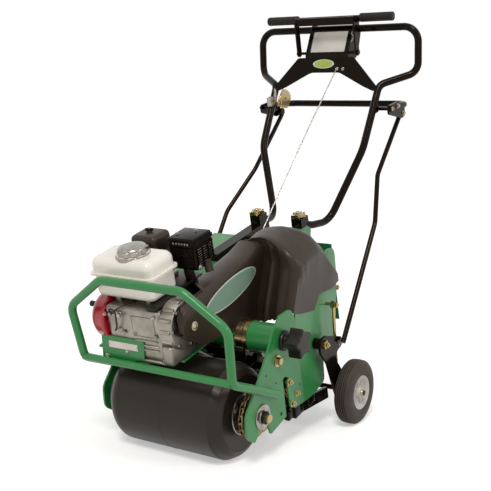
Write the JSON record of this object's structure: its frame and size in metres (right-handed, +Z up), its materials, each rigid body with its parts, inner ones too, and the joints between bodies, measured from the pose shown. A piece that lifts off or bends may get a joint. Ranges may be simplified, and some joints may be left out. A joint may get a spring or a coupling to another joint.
{
  "type": "core aerator",
  "caption": "Walk-behind core aerator: water-ballast drum, chain-driven reel of spoon tines, engine with belt drive, lift wheels on a bell crank, and a loop handle with clutch bail.",
  "frame": {"origin": "centre of the footprint on the ground, midway between the guard hoop and the lift bail", "axes": "+Z up, +Y towards the operator at the rear, +X towards the machine's left, the belt-cover side"},
  "size_m": [0.696, 1.2193, 1.2968],
  "materials": {
    "aluminium": "cast aluminium",
    "black_paint": "gloss black paint",
    "black_plastic": "black plastic",
    "cast": "cast iron",
    "chain_steel": "oiled chain steel",
    "cover_plastic": "moulded black plastic",
    "drum_plastic": "rotationally moulded black plastic",
    "fan_red": "red enamel",
    "green_paint": "satin machine-green paint",
    "rim": "light grey rim",
    "rubber": "black rubber",
    "steel": "bright steel",
    "tank_white": "white enamel",
    "tyre": "semi-pneumatic tyre",
    "zinc": "yellow zinc plate"
  },
  "bodies": {
    "chassis": {"air_cleaner": "cover_plastic", "bearing_plate": "black_paint", "belt_cover": "cover_plastic", "clutch_cable": "steel", "console_box": "black_paint", "cross_rail": "green_paint", "cylinder_head": "aluminium", "dash_plate": "black_paint", "drive_belt": "rubber", "drive_chains": "chain_steel", "drum_axle": "steel", "engine_block": "aluminium", "engine_deck": "green_paint", "fan_cover": "fan_red", "frame_bolts": "zinc", "front_shield": "green_paint", "fuel_tank": "tank_white", "guard_cross_tube": "green_paint", "guard_hoop": "green_paint", "handle_bracket_left": "green_paint", "handle_bracket_right": "black_paint", "handle_clamps": "black_paint", "handle_tube": "black_paint", "latch_sector": "zinc", "left_side_plate": "green_paint", "lower_rails": "black_paint", "muffler": "black_paint", "rear_panel": "green_paint", "right_side_plate": "green_paint", "shaft_bearings": "cast", "throttle_control": "steel", "tine_housing": "green_paint", "weight_tube": "green_paint"},
    "drum": {"drum_shell": "drum_plastic", "drum_sprocket": "steel"},
    "tine_reel": {"tine_shaft": "black_paint", "tine_spoons": "steel", "tine_sprockets": "steel"},
    "counter_shaft": {"jackshaft": "steel", "jack_pulley": "cast"},
    "crankshaft": {"engine_pulley": "cast"},
    "idler_arm": {"idler_arm": "black_paint"},
    "idler_wheel": {"idler_pulley": "zinc"},
    "wheel_frame": {"wheel_frame": "black_paint"},
    "left_wheel": {"left_tyre": "tyre", "left_rim": "rim"},
    "right_wheel": {"right_tyre": "tyre", "right_rim": "rim"},
    "lift_bail": {"lift_bail": "black_paint"},
    "lift_rods": {"lift_rod_left": "black_paint", "lift_rod_right": "black_paint"},
    "guide_rods": {"guide_rods": "zinc"},
    "clutch_bail": {"clutch_bail": "black_paint", "bail_grips": "rubber"},
    "throttle_lever": {"throttle_lever": "steel"},
    "star_knob_left": {"star_knob_left": "zinc"},
    "star_knob_right": {"star_knob_right": "zinc"},
    "clamp_knob": {"clamp_knob": "black_plastic"},
    "fuel_cap": {"fuel_cap": "black_plastic"},
    "starter_grip": {"starter_grip": "black_plastic"}
  },
  "joints": [
    {"name": "reel_spin", "type": "hinge", "parent": "chassis", "child": "tine_reel", "pos_m": [0, -0.0995, 0.18361], "axis": [1, 0, 0], "continuous": true},
    {"name": "drum_spin", "type": "hinge", "parent": "chassis", "child": "drum", "pos_m": [0, -0.38175, 0.139], "axis": [1, 0, 0], "continuous": true},
    {"name": "counter_shaft_spin", "type": "hinge", "parent": "chassis", "child": "counter_shaft", "pos_m": [0, -0.0995, 0.48622], "axis": [1, 0, 0], "continuous": true},
    {"name": "crankshaft_spin", "type": "hinge", "parent": "chassis", "child": "crankshaft", "pos_m": [0, -0.48442, 0.39785], "axis": [1, 0, 0], "continuous": true},
    {"name": "wheel_lift", "type": "hinge", "parent": "chassis", "child": "wheel_frame", "pos_m": [0, -0.0717, 0.2802], "axis": [1, 0, 0], "range_deg": [0, 45]},
    {"name": "left_wheel_spin", "type": "hinge", "parent": "wheel_frame", "child": "left_wheel", "pos_m": [0, 0.07405, 0.1016], "axis": [1, 0, 0], "continuous": true},
    {"name": "right_wheel_spin", "type": "hinge", "parent": "wheel_frame", "child": "right_wheel", "pos_m": [0, 0.07405, 0.1016], "axis": [1, 0, 0], "continuous": true},
    {"name": "bail_lift", "type": "hinge", "parent": "chassis", "child": "lift_bail", "pos_m": [0, 0.42984, 0.97621], "axis": [1, 0, 0], "range_deg": [0, 45]},
    {"name": "rods_swing", "type": "hinge", "parent": "lift_bail", "child": "lift_rods", "pos_m": [0, 0.53363, 0.96086], "axis": [1, 0, 0], "range_deg": [-45, 0]},
    {"name": "guide_swing", "type": "hinge", "parent": "chassis", "child": "guide_rods", "pos_m": [0, 0.01544, 0.38541], "axis": [1, 0, 0], "range_deg": [0, 28.45]},
    {"name": "clutch_squeeze", "type": "hinge", "parent": "chassis", "child": "clutch_bail", "pos_m": [0, 0.45249, 1.16634], "axis": [1, 0, 0], "range_deg": [-16, 0]},
    {"name": "idler_tighten", "type": "hinge", "parent": "chassis", "child": "idler_arm", "pos_m": [0, -0.17256, 0.33338], "axis": [1, 0, 0], "range_deg": [-4.4, 0]},
    {"name": "idler_spin", "type": "hinge", "parent": "idler_arm", "child": "idler_wheel", "pos_m": [0, -0.23126, 0.32081], "axis": [1, 0, 0], "continuous": true},
    {"name": "throttle_swing", "type": "hinge", "parent": "chassis", "child": "throttle_lever", "pos_m": [-0.1855, 0.40752, 1.00362], "axis": [1, 0, 0], "range_deg": [0, 60]},
    {"name": "left_knob_turn", "type": "hinge", "parent": "chassis", "child": "star_knob_left", "pos_m": [0.079, 0.11818, 0.63055], "axis": [0, -0.2419, 0.9703], "continuous": true},
    {"name": "right_knob_turn", "type": "hinge", "parent": "chassis", "child": "star_knob_right", "pos_m": [-0.079, 0.11818, 0.63055], "axis": [0, -0.2419, 0.9703], "continuous": true},
    {"name": "clamp_knob_turn", "type": "hinge", "parent": "chassis", "child": "clamp_knob", "pos_m": [0.256, -0.27055, 0.33369], "axis": [1, 0, 0], "continuous": true},
    {"name": "fuel_cap_turn", "type": "hinge", "parent": "chassis", "child": "fuel_cap", "pos_m": [-0.08, -0.52262, 0.58827], "axis": [0, -0.2419, 0.9703], "range_deg": [0, 90]},
    {"name": "starter_pull", "type": "slide", "parent": "chassis", "child": "starter_grip", "axis": [-1, 0, 0], "range_m": [0, 0.6]}
  ],
  "couplings": [
    {"joint": "drum_spin", "follows": "reel_spin", "ratio": 1},
    {"joint": "counter_shaft_spin", "follows": "reel_spin", "ratio": 2},
    {"joint": "crankshaft_spin", "follows": "reel_spin", "ratio": 5.0286},
    {"joint": "bail_lift", "follows": "wheel_lift", "ratio": 1},
    {"joint": "rods_swing", "follows": "wheel_lift", "ratio": -1},
    {"joint": "guide_swing", "follows": "wheel_lift", "ratio": 0.63},
    {"joint": "idler_tighten", "follows": "clutch_squeeze", "ratio": 0.27}
  ]
}
